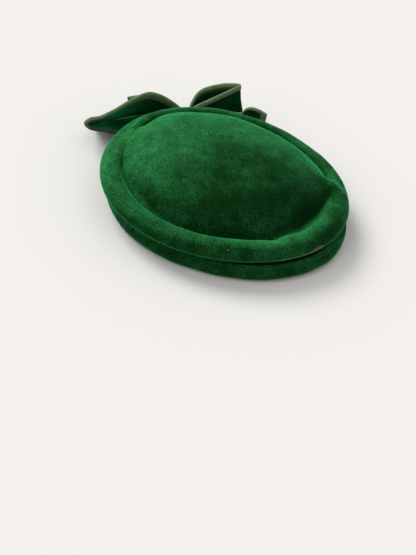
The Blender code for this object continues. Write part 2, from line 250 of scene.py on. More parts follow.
LEFT_TAIL = (
    # x_up, y_up, z_up, x_low, y_low, z_low
    (-0.026, 0.123, 0.340, -0.026, 0.123, 0.077),
    (-0.060, 0.127, 0.343, -0.060, 0.133, 0.077),
    (-0.108, 0.247, 0.425, -0.117, 0.513, 0.083),
    (-0.208, 0.380, 0.542, -0.208, 0.813, 0.092),
    (-0.350, 0.413, 0.600, -0.325, 1.080, 0.133),
    (-0.450, 0.397, 0.600, -0.392, 1.147, 0.153),
    (-0.550, 0.363, 0.580, -0.454, 1.147, 0.158),
)
# Right tail: degrees from the back towards +X, distance outside the crown as a
# share of LAYER_STEP, heights of both edges as shares of BOW_HIGH.
RIGHT_TAIL = (
    # turn, out, z_up, z_low
    (-0.9, 1.22, 0.340, 0.077),
    (1.0, 1.22, 0.347, 0.077),
    (4.0, 1.10, 0.460, 0.075),
    (11.0, 0.66, 0.510, 0.070),
    (19.0, 0.44, 0.545, 0.070),
    (25.3, 0.36, 0.575, 0.070),
    (27.7, 0.36, 0.690, 0.070),
    (30.0, 0.37, 0.745, 0.070),
    (33.5, 0.44, 0.757, 0.072),
    (38.8, 0.62, 0.722, 0.075),
)


# Curves and sections

def outer_radius(angle):
    """Radius of the crown seen from above, a slightly egg-shaped oval."""
    turn = angle - OVAL_TURN
    oval = 1.0 / math.hypot(math.cos(turn) / HALF_LENGTH, math.sin(turn) / HALF_WIDTH)
    return oval * (1.0 + EGG_COS * math.cos(3 * turn) + EGG_SIN * math.sin(3 * turn))


def blend_points(before, start, end, after, share):
    """Smooth curve value between start and end."""
    return 0.5 * (
        2 * start
        + (end - before) * share
        + (2 * before - 5 * start + 4 * end - after) * share ** 2
        + (3 * start - before - 3 * end + after) * share ** 3
    )


def body_row(angle):
    """Values of the body table at any direction, blended smoothly round the hat."""
    degrees = math.degrees(angle) % 360.0
    table = np.array(BODY_TABLE, float)
    around = np.vstack([table[-2:], table, table[:2]])
    around[:2, 0] -= 360.0
    around[-2:, 0] += 360.0
    index = int(np.searchsorted(around[:, 0], degrees, side="right")) - 1
    before, start, end, after = around[index - 1:index + 3]
    gap = end[0] - start[0]
    share = (degrees - start[0]) / gap
    rise_start = (end - before) / (end[0] - before[0]) * gap
    rise_end = (after - start) / (after[0] - start[0]) * gap
    value = (
        (2 * share ** 3 - 3 * share ** 2 + 1) * start
        + (share ** 3 - 2 * share ** 2 + share) * rise_start
        + (3 * share ** 2 - 2 * share ** 3) * end
        + (share ** 3 - share ** 2) * rise_end
    )
    return value[1:]


def smooth_curve(points, steps):
    """Smooth curve through the points, with the same number of steps between each pair."""
    points = np.asarray(points, float)
    ends = np.vstack([2 * points[0] - points[1], points, 2 * points[-1] - points[-2]])
    fine = []
    for index in range(len(points) - 1):
        for step in range(steps):
            fine.append(blend_points(*ends[index:index + 4], step / steps))
    return np.array(fine + [points[-1]])


def fill_groove(points, filled):
    """Raises the groove towards the straight slope from the dome to the top of the roll."""
    filled = min(max(filled, 0.0), 1.0)
    first = FILL_START
    last = len(DOME_PROFILE) + 1 + ROLL_DIRECTIONS.index(90)
    for index in range(first + 1, last):
        share = (index - first) / (last - first)
        for axis in (0, 1):
            level = points[first][axis] + share * (points[last][axis] - points[first][axis])
            points[index][axis] += filled * (level - points[index][axis])


def crown_section(angle):
    """Outer side of the crown from its middle to the edge turned under the roll."""
    foot, floor, half_w, half_h, _, shoulder, filled = body_row(angle)
    radius = outer_radius(angle)
    half_w *= ROLL_HEIGHT
    half_h *= ROLL_HEIGHT
    floor *= ROLL_HEIGHT
    foot *= radius
    centre = radius - half_w
    points = []
    for share, rise in DOME_PROFILE:
        height = floor + (DOME_HEIGHT - floor) * rise ** (1.0 / shoulder)
        points.append([share * foot, height])
    inner = centre + half_w * math.cos(math.radians(ROLL_DIRECTIONS[0]))
    points.append([0.5 * (foot + inner), floor])
    for direction in ROLL_DIRECTIONS:
        turn = math.radians(direction)
        height = ROLL_HEIGHT + half_h * math.sin(turn)
        points.append([centre + half_w * math.cos(turn), height])
    fill_groove(points, filled)
    seat = BRIM_SHARE * ROLL_HEIGHT + GAP
    points.append((centre - 0.5 * half_w - 0.5 * TURNED_EDGE, seat + 0.2 * GAP))
    points.append((centre - 0.5 * half_w - TURNED_EDGE, seat))
    return np.array(points)


def brim_section(angle):
    """Outer side of the brim from under the roll, round its fold, to the head opening."""
    _, _, half_w, _, reach, _, _ = body_row(angle)
    radius = outer_radius(angle)
    half_w *= ROLL_HEIGHT
    outer = radius * reach
    top = BRIM_SHARE * ROLL_HEIGHT
    return np.array([
        (radius - 1.5 * half_w - TURNED_EDGE, top),
        (radius - 1.3 * half_w, 0.95 * top),
        *((outer - inward * top, height * top) for inward, height in BRIM_PROFILE),
        (HEAD_OPENING * outer / HALF_LENGTH, 0.22 * top),
    ])


def frame_shift():
    """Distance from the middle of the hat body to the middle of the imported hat."""
    points = []
    for step in range(OVAL_STEPS):
        angle = 2 * math.pi * step / OVAL_STEPS
        radius = outer_radius(angle)
        points.append((radius * math.cos(angle), radius * math.sin(angle)))
    points = np.array(points)
    low, high = (np.array(corner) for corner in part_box("crown"))
    middle = 0.5 * (points.min(axis=0) + points.max(axis=0))
    return np.append(0.5 * (low + high)[:2] - middle, 0.0)


SHIFT = frame_shift()


# Mesh helpers

def unit(vectors):
    """Vectors scaled to length one."""
    return vectors / np.maximum(np.linalg.norm(vectors, axis=-1, keepdims=True), 1e-12)


def grid_normals(grid, around):
    """Normals of a grid of points, where the first axis may run right round."""
    if around:
        wide = np.concatenate([grid[-1:], grid, grid[:1]])
        along = wide[2:] - wide[:-2]
    else:
        along = np.gradient(grid, axis=0)
    across = np.gradient(grid, axis=1)
    return unit(np.cross(across, along))


def uneven(points, scale, amount, seed):
    """Soft uneven shift for each point, from smooth noise."""
    flat = points.reshape(-1, 3)
    offset = Vector((seed * 7.31, seed * 3.17, seed * 5.93))
    values = [noise.noise(Vector(point) * scale + offset) for point in flat]
    return amount * np.array(values).reshape(points.shape[:-1])


def edge_round(count):
    """Half circle of directions over a cut edge, without its ends."""
    turns = np.linspace(0.5 * math.pi, -0.5 * math.pi, count + 2)[1:-1]
    return [(math.cos(turn), math.sin(turn)) for turn in turns]


def mark_inner_and_shaded(piece, rows, first, last):
    """Gives the second material to the faces whose place in the section is outside first to last."""
    size = rows.shape[1]
    flat = rows.reshape(-1, 3)
    tree = KDTree(len(flat))
    for place, point in enumerate(flat):
        tree.insert(point, place)
    tree.balance()
    for face in piece.data.polygons:
        places = [tree.find(piece.data.vertices[index].co)[1] % size for index in face.vertices]
        if min(places) < first or max(places) > last:
            face.material_index = 1


def solid_rows(grid, normals, above, below, outward, pole=False):
    """Closed section at each row of a sheet: its front, a round edge, its back, a round edge."""
    middle = 0.5 * (above - below)
    half = 0.5 * (above + below)
    rows = []
    for points, normal, ends in zip(grid, normals, outward):
        core = points + middle * normal
        row = list(core + half * normal)
        for out, up in edge_round(EDGE_STEPS):
            row.append(core[-1] + half * (EDGE_ROUNDING * out * ends[1] + up * normal[-1]))
        row.extend((core - half * normal)[::-1])
        if not pole:
            for out, up in edge_round(EDGE_STEPS):
                row.append(core[0] + half * (EDGE_ROUNDING * out * ends[0] - up * normal[0]))
        rows.append(row)
    return np.array(rows)


def make_piece(name, rows, around, open_side=False, coordinates=None):
    """Smooth mesh through rows of points; each row is a ring unless one side is open."""
    count, size, _ = rows.shape
    mesh = bmesh.new()
    verts = [mesh.verts.new(point) for point in rows.reshape(-1, 3)]
    layer = mesh.loops.layers.uv.new("along_across")
    last = count if around else count - 1
    for row in range(last):
        here = row * size
        after = (row + 1) % count * size
        for index in range(size - 1 if open_side else size):
            step = (index + 1) % size
            corners = (here + index, here + step, after + step, after + index)
            face = mesh.faces.new([verts[corner] for corner in corners])
            if coordinates is not None:
                along, across = coordinates
                spots = ((row, index), (row, index + 1), (row + 1, index + 1), (row + 1, index))
                for loop, (place, side) in zip(face.loops, spots):
                    loop[layer].uv = (along[place], across[side])
    if not around:
        mesh.faces.new([verts[index] for index in range(size)][::-1])
        mesh.faces.new([verts[(count - 1) * size + index] for index in range(size)])
    bmesh.ops.remove_doubles(mesh, verts=mesh.verts, dist=WELD_DISTANCE)
    bmesh.ops.recalc_face_normals(mesh, faces=mesh.faces)
    for face in mesh.faces:
        face.smooth = True
    data = bpy.data.meshes.new(name)
    mesh.to_mesh(data)
    mesh.free()
    piece = bpy.data.objects.new(name, data)
    bpy.context.scene.collection.objects.link(piece)
    return piece


def add_float(piece, name, function):
    """Value at each vertex, for the material to read."""
    layer = piece.data.attributes.new(name, "FLOAT", "POINT")
    points = np.array([vert.co for vert in piece.data.vertices])
    layer.data.foreach_set("value", np.asarray(function(points), np.float32))


# Hat body

def segment_distance(points, start, end):
    """Distance in plan from points to a line from start to end."""
    start = np.array(start)
    way = np.array(end) - start
    share = ((points[..., :2] - start) @ way) / (way @ way)
    nearest = start + np.clip(share, 0.0, 1.0)[..., None] * way
    return np.linalg.norm(points[..., :2] - nearest, axis=-1)


def creased(points):
    """Heights of the creases and dents at each point."""
    height = np.zeros(points.shape[:-1])
    for x0, y0, x1, y1, width, rise in CREASES:
        distance = segment_distance(points, (x0, y0), (x1, y1))
        height += rise * np.exp(-(distance / width) ** 2)
    return height


def body_grid(section):
    """Fine grid of the outer side of the crown or brim."""
    grid = []
    for step in range(AROUND):
        angle = 2 * math.pi * step / AROUND
        curve = smooth_curve(section(angle), BODY_STEPS)
        radius, height = curve.T
        grid.append(np.stack([radius * math.cos(angle), radius * math.sin(angle), height], axis=1))
    return np.array(grid) + SHIFT


def build_crown():
    """Domed crown with its groove and outer roll."""
    grid = body_grid(crown_section)
    normals = grid_normals(grid, True)
    normals[:, 0] = (0.0, 0.0, 1.0)
    upward = np.clip(normals[..., 2], 0.0, 1.0)
    grid[..., 2] += creased(grid) * upward
    lumps = sum(uneven(grid, *lump) for lump in CROWN_LUMPS)
    lumps[:, 0] = lumps[:, 0].mean()
    grid += (lumps * upward)[..., None] * normals
    normals = grid_normals(grid, True)
    normals[:, 0] = (0.0, 0.0, 1.0)
    ends = np.stack([grid[:, 0] - grid[:, 1], unit(grid[:, -1] - grid[:, -2])], axis=1)
    rows = solid_rows(grid, normals, 0.0, FELT, ends, pole=True)
    crown = make_piece("crown_velour", rows, True, open_side=True)
    # Beyond the roll's lowest point the dark inner felt covers the roll's underside as painted shade,
    # and the real inner side
    mark_inner_and_shaded(crown, rows, 0, BODY_STEPS * (len(DOME_PROFILE) + ROLL_DIRECTIONS.index(-90)))
    return crown


def build_brim():
    """Lower fold of the brim."""
    grid = body_grid(brim_section)
    normals = grid_normals(grid, True)
    lumps = sum(uneven(grid, *lump) for lump in BRIM_LUMPS)
    side = np.clip(np.hypot(normals[..., 0], normals[..., 1]), 0.0, 1.0)
    grid += (lumps * side)[..., None] * normals
    grid[..., 2] = np.maximum(grid[..., 2], 0.0)
    normals = grid_normals(grid, True)
    first = unit(grid[:, 0] - grid[:, 1])
    last = unit(grid[:, -1] - grid[:, -2])
    rows = solid_rows(grid, normals, 0.0, FELT, np.stack([first, last], axis=1))
    rows[..., 2] = np.maximum(rows[..., 2], 0.0)
    brim = make_piece("brim_velour", rows, True)
    first, last = (int(place * BODY_STEPS) for place in BRIM_BRUSHED)
    mark_inner_and_shaded(brim, rows, first, last)
    return brim


# Bow

def knot_middle():
    """Distance of the knot's middle from the middle of the hat."""
    return outer_radius(math.radians(90)) + GAP + FELT + 0.5 * KNOT_DEEP


def loop_edges(table):
    """Both edges of a bow strip, from the shares in its table."""
    points = np.array(table, float) * ([BOW_WIDE, BOW_DEEP, BOW_HIGH] * 2)
    points[:, [1, 4]] += knot_middle()
    curve = smooth_curve(points, STRIP_STEPS)
    return curve[:, :3] + SHIFT, curve[:, 3:] + SHIFT


def rim_edges(table):
    """Both edges of a bow strip that follows the back of the crown."""
    upper = []
    lower = []
    for turn, out, z_up, z_low in table:
        angle = math.radians(90 - turn)
        radius = outer_radius(angle) + out * LAYER_STEP
        x = radius * math.cos(angle)
        y = radius * math.sin(angle)
        upper.append((x, y, z_up * BOW_HIGH))
        lower.append((x, y, z_low * BOW_HIGH))
    curve = smooth_curve(np.hstack([upper, lower]), STRIP_STEPS)
    return curve[:, :3] + SHIFT, curve[:, 3:] + SHIFT


def strip_frame(upper, lower):
    """Directions along a strip and across it, and its normal, at every station."""
    along = unit(np.gradient(0.5 * (upper + lower), axis=0))
    across = unit(lower - upper)
    return along, across, unit(np.cross(along, across))


def near_knot(points):
    """One at the knot, fading to nothing along the strip."""
    away = (points[..., 0] - SHIFT[0] - KNOT_SHIFT) / PLEAT_FADE
    return np.exp(-away ** 2)


def felt_strip(name, upper, lower, belly):
    """Strip of bow felt between its two edges, soft in the middle and pleated at the knot."""
    _, across, normal = strip_frame(upper, lower)
    shares = np.linspace(0.0, 1.0, STRIP_ACROSS + 1)
    grid = upper[:, None] + shares[:, None] * (lower - upper)[:, None]
    soft = belly * np.sin(math.pi * shares) ** 2
    pleat = PLEAT * np.sin(6 * math.pi * shares) * np.sin(math.pi * shares)
    near = near_knot(grid[:, 0])[:, None]
    lumps = uneven(grid, *STRIP_LUMPS) * np.sin(math.pi * shares) ** 2
    grid = grid + ((1 - near) * soft + near * pleat + (1 - near) * lumps)[..., None] * normal[:, None]
    normals = grid_normals(grid, False)
    facing = np.sign((normals[:, 0] * normal).sum(axis=1).mean())
    ends = np.stack([-across, across], axis=1)
    half = 0.5 * BOW_FELT
    rows = solid_rows(grid, facing * normals, half, half, ends)
    return make_piece(name, rows, False)


def binding_shape(reach):
    """Folded ribbon section: depth from the felt's edge and height from its middle."""
    inner = 0.5 * BOW_FELT + GAP
    outer = inner + RIBBON
    centre = outer - GAP - RIBBON
    turns = np.linspace(0.5 * math.pi, 1.5 * math.pi, 9)
    shape = [(reach, outer), (0.5 * (reach + centre), outer)]
    shape += [(centre + outer * math.cos(turn), outer * math.sin(turn)) for turn in turns]
    shape += [(0.5 * (reach + centre), -outer), (reach, -outer)]
    shape += [(reach, -inner), (0.5 * (reach + centre), -inner)]
    shape += [(centre + inner * math.cos(turn), inner * math.sin(turn)) for turn in turns[::-1]]
    shape += [(0.5 * (reach + centre), inner), (reach, inner)]
    return np.array(shape)


def folded_ribbon(name, points, inward, normal, reach, usual_reach):
    """Ribbon folded over an edge; its woven pattern follows the usual reach."""
    reaches = np.broadcast_to(reach, len(points))
    shape = binding_shape(usual_reach)
    rows = []
    for point, side, face, depth_here in zip(points, inward, normal, reaches):
        section = binding_shape(depth_here)
        rows.append([point + depth * side + height * face for depth, height in section])
    rows = np.array(rows)
    steps = np.linalg.norm(np.diff(points, axis=0), axis=1)
    along = np.concatenate([[0.0], np.cumsum(steps)])
    ring = np.vstack([shape, shape[:1]])
    across = np.concatenate([[0.0], np.cumsum(np.linalg.norm(np.diff(ring, axis=0), axis=1))])
    return make_piece(name, rows, False, coordinates=(along, across))


def clear_of_knot(points):
    """Keeps the stations of an edge that lie outside the knot."""
    away = np.abs(points[:, 0] - SHIFT[0] - KNOT_SHIFT)
    return away > 0.5 * KNOT_LENGTH + RIBBON + 3 * GAP


def loop_binding(name, edge, other, normal, reach):
    """Ribbon along one edge of a loop, from one side of the knot round to the other."""
    keep = clear_of_knot(edge)
    inward = unit(other - edge)
    return folded_ribbon(name, edge[keep], inward[keep], normal[keep], reach, np.max(reach))


def tip_reach(edge, before, after):
    """Reach of a loop's upper ribbon before its tip and beyond it, and the tip's place."""
    along = np.concatenate([[0.0], np.cumsum(np.linalg.norm(np.diff(edge, axis=0), axis=1))])
    tip = along[np.argmax(np.abs(edge[:, 0] - SHIFT[0]))]
    start = np.clip(along / REACH_FADE, 0.0, 1.0)
    reach = RIBBON_REACH + start * (before - RIBBON_REACH)
    share = np.clip((along - tip) / TIP_FADE, 0.0, 1.0)
    return reach + share * (after - reach), float(tip)


def tail_binding(name, upper, lower, upper_reach):
    """Ribbon along the upper edge of a tail, round its end and back along the lower edge."""
    along, across, normal = strip_frame(upper, lower)
    end = along[-1]
    width = np.linalg.norm(lower[-1] - upper[-1])
    bend = RIBBON_REACH + GAP + 2 * RIBBON
    from_end = np.linalg.norm(upper - upper[-1], axis=1)
    keep = clear_of_knot(upper) & (from_end > bend)
    points = list(upper[keep])
    inward = list(across[keep])
    faces = list(normal[keep])
    reaches = [upper_reach] * len(points)
    down = unit(lower[-1] - upper[-1])
    turns = np.linspace(0.0, 0.5 * math.pi, 6)

    def mitre(centre, inner, first, second):
        """Stations round a corner, whose ribbon ends at the inner corner of both bands."""
        for turn in turns:
            point = centre + TAIL_CORNER * (math.sin(turn) * first + math.cos(turn) * second)
            points.append(point)
            inward.append(unit(inner - point))
            faces.append(normal[-1])
            reaches.append(float(np.linalg.norm(inner - point)))

    inner = upper[-1] + upper_reach * down - RIBBON_REACH * end
    mitre(upper[-1] + TAIL_CORNER * (down - end), inner, end, -down)
    for share in np.linspace(bend / width, 1 - bend / width, 8):
        points.append(upper[-1] + share * width * down)
        inward.append(-end)
        faces.append(normal[-1])
        reaches.append(RIBBON_REACH)
    inner = lower[-1] - RIBBON_REACH * (down + end)
    mitre(lower[-1] - TAIL_CORNER * (down + end), inner, down, end)
    points.extend(lower[keep][::-1])
    inward.extend(-across[keep][::-1])
    faces.extend(normal[keep][::-1])
    reaches.extend([RIBBON_REACH] * keep.sum())
    stations = (np.array(row) for row in (points, inward, faces, reaches))
    return folded_ribbon(name, *stations, RIBBON_REACH)


def build_knot():
    """Short band of felt pulled tight round the gathered strips."""
    corner = KNOT_CORNER * KNOT_DEEP
    half_y = 0.5 * KNOT_DEEP
    half_z = 0.5 * KNOT_TALL
    centre_z = half_z + FELT + GAP

    def bend(quarter, turn):
        """Point of the rounded corner of one quarter, and its direction."""
        side_y = (1, -1, -1, 1)[quarter % 4]
        side_z = (1, 1, -1, -1)[quarter % 4]
        y = side_y * (half_y - corner) + corner * math.cos(turn)
        z = side_z * (half_z - corner) + corner * math.sin(turn)
        return y, z, turn

    path = []
    for quarter in range(4):
        for step in range(9):
            path.append(bend(quarter, math.radians(90 * quarter + 11.25 * step)))
        start = path[-1]
        y, z, turn = bend(quarter + 1, math.radians(90 * (quarter + 1)))
        for share in np.linspace(0.0, 1.0, 10)[1:-1]:
            path.append((start[0] + share * (y - start[0]), start[1] + share * (z - start[1]), turn))
    grid = []
    for y, z, turn in path:
        line = []
        for step in range(KNOT_ACROSS + 1):
            share = step / KNOT_ACROSS
            x = KNOT_SHIFT + (share - 0.5) * KNOT_LENGTH
            fold = KNOT_FOLD * math.cos(5 * math.pi * share) * (0.5 + 0.5 * math.sin(90 * z))
            out = KNOT_BULGE * math.sin(math.pi * share) + fold + KNOT_CLEAR
            line.append((x, y + out * math.cos(turn), z + out * math.sin(turn)))
        grid.append(line)
    grid = np.array(grid) + SHIFT + (0.0, knot_middle(), centre_z)
    normals = grid_normals(grid, True)
    outside = grid - (SHIFT + (KNOT_SHIFT, knot_middle(), centre_z))
    if (normals * outside).sum() < 0:
        normals = -normals
    sides = np.zeros((len(grid), 2, 3))
    sides[:, 0, 0] = -1.0
    sides[:, 1, 0] = 1.0
    rows = solid_rows(grid, normals, FELT, 0.0, sides)
    rows[..., 2] = np.maximum(rows[..., 2], 0.0)
    return make_piece("bow_knot_felt", rows, True)


# Materials

# Sheen of the ribbon where it lies in the open, and lower where its colour is painted shade
RIBBON_SHEEN = 0.35
PAINTED_SHADE_SHEEN = 0.08

# Distance of the stitched line from a ribbon's free edge
STITCH_FROM_EDGE = 0.0010

# Distance between the cross ribs of a ribbon
RIB_SPACING = 0.0009

# Direction of the main light; felt that faces it is made lighter in colour: painted light
PAINTED_LIGHT_DIRECTION = (-0.30, 0.80, 0.52)

# Dark and light tone of each felt and ribbon
HAT_TONES = ((0.0004, 0.0200, 0.0016), (0.0265, 0.2300, 0.0650))
# Darker copy of the hat felt's tones for the loops: painted shade
LOOP_SHADE_TONES = ((0.0006, 0.0180, 0.0040), (0.0075, 0.1230, 0.0410))
# Inner felt, dark enough to also stand as painted shade under the roll
INNER_AND_SHADE_TONES = ((0.0002, 0.0060, 0.0012), (0.0020, 0.0330, 0.0090))
RIBBON_TONES = ((0.038, 0.085, 0.030), (0.175, 0.300, 0.135))
# Darker ribbon tones for the left loop's lower ribbon: painted shade
PAINTED_SHADE_RIBBON_TONES = ((0.003, 0.013, 0.004), (0.018, 0.045, 0.015))
WORN_TONE = (0.090, 0.076, 0.036)
SOIL_TONE = (0.120, 0.105, 0.045)
LINT = (0.10, 0.22, 0.09)
BRUSHED = (0.020, 0.135, 0.050)

# Painted light and shade: soft darker and lighter areas of the crown
PAINTED_LIGHT_AND_SHADE = (
    # x, y, z, size, change of lightness
    (0.0050, -0.0480, 0.0600, 0.0640, -0.26),
    (-0.0450, -0.0600, 0.0550, 0.0450, -0.12),
    (0.0200, 0.0350, 0.0600, 0.0500, 0.08),
    (0.0720, -0.1020, 0.0370, 0.0340, -0.20),
    (0.0960, -0.0780, 0.0380, 0.0280, -0.14),
)

# Lint and brushed marks on the crown, and marks inside the left loop
CROWN_SPOTS = (
    # x, y, z, size, strength, tone
    (-0.0324, -0.1325, 0.0365, 0.0008, 0.85, LINT),
    (0.0249, -0.0083, 0.0650, 0.0060, 0.35, BRUSHED),
    (0.0337, -0.0023, 0.0641, 0.0080, 0.35, BRUSHED),
    (-0.0593, -0.0180, 0.0618, 0.0050, 0.40, BRUSHED),
    (-0.0536, -0.0150, 0.0629, 0.0040, 0.35, BRUSHED),
    (-0.0429, -0.0443, 0.0630, 0.0007, 0.70, LINT),
    (-0.0151, -0.0411, 0.0654, 0.0006, 0.60, LINT),
)
LEFT_LOOP_SPOTS = (
    # x, y, z, size, strength, tone
    (-0.0619, 0.1104, 0.0256, 0.0008, 0.90, (0.30, 0.26, 0.16)),
    (-0.0924, 0.1095, 0.0122, 0.0006, 0.80, (0.26, 0.18, 0.14)),
)

# Worn edge of the roll: its ends in degrees round the hat, the distances over which it
# fades there, its lower and upper height, the place in degrees, width in degrees and
# extra height of its highest part, and the radius inside which there is none
WORN_FROM = -85.0
WORN_TO = -55.0
WORN_FADES = (9, 4)
WORN_LOW = 0.0215
WORN_TOP = 0.0274
WORN_CREST = (-60.5, 4.5, 0.0050)
WORN_SOFT = 0.0010
WORN_RADIUS = 0.108

# Upper ribbon of each loop: reach before and beyond the loop's tip, and the darker tone beyond
# it within a depth of its free edge, painted shade where the ribbon lies in shade
UPPER_RIBBONS = {
    "left": (WIDE_REACH, NARROW_REACH, (0.006, 0.018, 0.006), 0.0200),
    "right": (SLIM_REACH, BACK_REACH, (0.030, 0.032, 0.013), 0.0034),
}


class Nodes:
    """Short calls that add and join shader nodes."""

    def __init__(self, name):
        self.material = bpy.data.materials.new(name)
        self.material.use_nodes = True
        self.tree = self.material.node_tree
        self.shader = self.tree.nodes["Principled BSDF"]

    def add(self, kind, values=(), **settings):
        """New node with its settings, and its inputs joined or set."""
        node = self.tree.nodes.new(kind)
        for key, value in settings.items():
            setattr(node, key, value)
        for key, value in dict(values).items():
            self.join(value, node.inputs[key])
        return node

    def join(self, value, socket):
        """Joins an output to a socket, or sets the socket's value."""
        if hasattr(value, "is_output"):
            self.tree.links.new(value, socket)
        else:
            socket.default_value = value

    def math(self, operation, first, second=0.0, third=0.0, clamp=False):
        """Result of one sum."""
        node = self.add("ShaderNodeMath", {0: first, 1: second, 2: third}, operation=operation)
        node.use_clamp = clamp
        return node.outputs[0]

    def remap(self, value, low, high, new_low=0.0, new_high=1.0, smooth=False):
        """Value from one range put into another."""
        node = self.add("ShaderNodeMapRange", {0: value, 1: low, 2: high, 3: new_low, 4: new_high})
        node.interpolation_type = "SMOOTHSTEP" if smooth else "LINEAR"
        return node.outputs[0]

    def mix(self, share, first, second):
        """Blend of two colours."""
        node = self.add("ShaderNodeMix", data_type="RGBA")
        self.join(share, node.inputs[0])
        self.join(first, node.inputs[6])
        self.join(second, node.inputs[7])
        return node.outputs[2]

    def distance(self, place, middle):
        """Distance from a point."""
        node = self.add("ShaderNodeVectorMath", {0: place, 1: middle}, operation="DISTANCE")
        return node.outputs["Value"]

    def noise(self, place, scale, detail, rough):
        """Smooth noise from 0 to 1."""
        node = self.add("ShaderNodeTexNoise", {
            "Vector": place, "Scale": scale, "Detail": detail, "Roughness": rough})
        return node.outputs["Fac"]

    def bump(self, height, distance, strength, normal=None):
        """Small relief from a height."""
        node = self.add("ShaderNodeBump", {"Height": height, "Distance": distance, "Strength": strength})
        if normal is not None:
            self.join(normal, node.inputs["Normal"])
        return node.outputs[0]


def velour(name, dark, light, painted_light_and_shade=(), spots=(), wear=False):
    """Short brushed pile: soft sheen, fine grain, random patches, and painted light and shade in its
    colour.
    """
    n = Nodes(name)
    place = n.add("ShaderNodeTexCoord").outputs["Object"]
    patches = n.noise(place, 22.0, 3.0, 0.55)
    cloud = n.noise(place, 90.0, 4.0, 0.6)
    grain = n.noise(place, 620.0, 3.0, 0.65)
    pile = n.noise(place, 1900.0, 2.0, 0.7)
    # Painted light: the felt's colour is lighter where it faces the light direction, darker where it
    # faces away
    facing = n.add("ShaderNodeNewGeometry").outputs["Normal"]
    facing_light = n.add("ShaderNodeVectorMath", {0: facing, 1: PAINTED_LIGHT_DIRECTION}, operation="DOT_PRODUCT")
    share = n.remap(facing_light.outputs["Value"], 0.05, 0.85, 0.05, 0.62)
    # Painted light and shade: lighter or darker around each listed place
    for x, y, z, size, change in painted_light_and_shade:
        away = n.distance(place, (x, y, z))
        share = n.math("ADD", share, n.remap(away, 0.3 * size, size, change, 0.0, True))
    share = n.math("ADD", share, n.remap(patches, 0.35, 0.68, -0.06, 0.13))
    speckle = n.math("MULTIPLY", n.math("SUBTRACT", cloud, 0.5), 0.8)
    speckle = n.math("MULTIPLY_ADD", n.math("SUBTRACT", grain, 0.5), 1.7, speckle)
    speckle = n.math("MULTIPLY_ADD", n.math("SUBTRACT", pile, 0.5), 2.3, speckle)
    strength = n.remap(share, 0.0, 0.6, 0.40, 1.15)
    share = n.math("MULTIPLY_ADD", speckle, strength, share, clamp=True)
    colour = n.mix(share, (*dark, 1.0), (*light, 1.0))
    if wear:
        worn = n.add("ShaderNodeAttribute", attribute_name="wear").outputs["Fac"]
        patchy = n.noise(place, 260.0, 3.0, 0.6)
        worn = n.math("MULTIPLY", worn, n.math("ADD", patchy, 0.45))
        worn = n.remap(worn, 0.15, 0.50, 0.0, 0.95, True)
        colour = n.mix(worn, colour, (*WORN_TONE, 1.0))
    for x, y, z, size, strength, tone in spots:
        away = n.distance(place, (x, y, z))
        mask = n.remap(away, 0.5 * size, 1.3 * size, strength, 0.0, True)
        colour = n.mix(mask, colour, (*tone, 1.0))
    n.join(colour, n.shader.inputs["Base Color"])
    n.shader.inputs["Roughness"].default_value = 0.92
    n.shader.inputs["Specular IOR Level"].default_value = 0.06
    n.shader.inputs["Sheen Weight"].default_value = 1.0
    n.shader.inputs["Sheen Roughness"].default_value = 0.26
    n.shader.inputs["Sheen Tint"].default_value = (0.035, 0.62, 0.20, 1.0)
    fine = n.math("MULTIPLY_ADD", pile, 0.5, grain)
    relief = n.bump(fine, 0.0009, 0.55)
    relief = n.bump(cloud, 0.0016, 0.35, relief)
    n.join(relief, n.shader.inputs["Normal"])
    return n.material


def pressed_felt(name, dark, light):
    """Inner side of the felt: matt, smoother, without the brushed pile; dark, it also stands as painted
    shade under the roll.
    """
    n = Nodes(name)
    place = n.add("ShaderNodeTexCoord").outputs["Object"]
    cloud = n.noise(place, 70.0, 4.0, 0.6)
    fibre = n.noise(place, 900.0, 4.0, 0.7)
    share = n.remap(cloud, 0.3, 0.7, 0.1, 0.7)
    share = n.math("MULTIPLY_ADD", n.math("SUBTRACT", fibre, 0.5), 1.6, share, clamp=True)
    n.join(n.mix(share, (*dark, 1.0), (*light, 1.0)), n.shader.inputs["Base Color"])
    n.shader.inputs["Roughness"].default_value = 0.95
    n.shader.inputs["Specular IOR Level"].default_value = 0.08
    n.join(n.bump(fibre, 0.0006, 0.5), n.shader.inputs["Normal"])
    return n.material


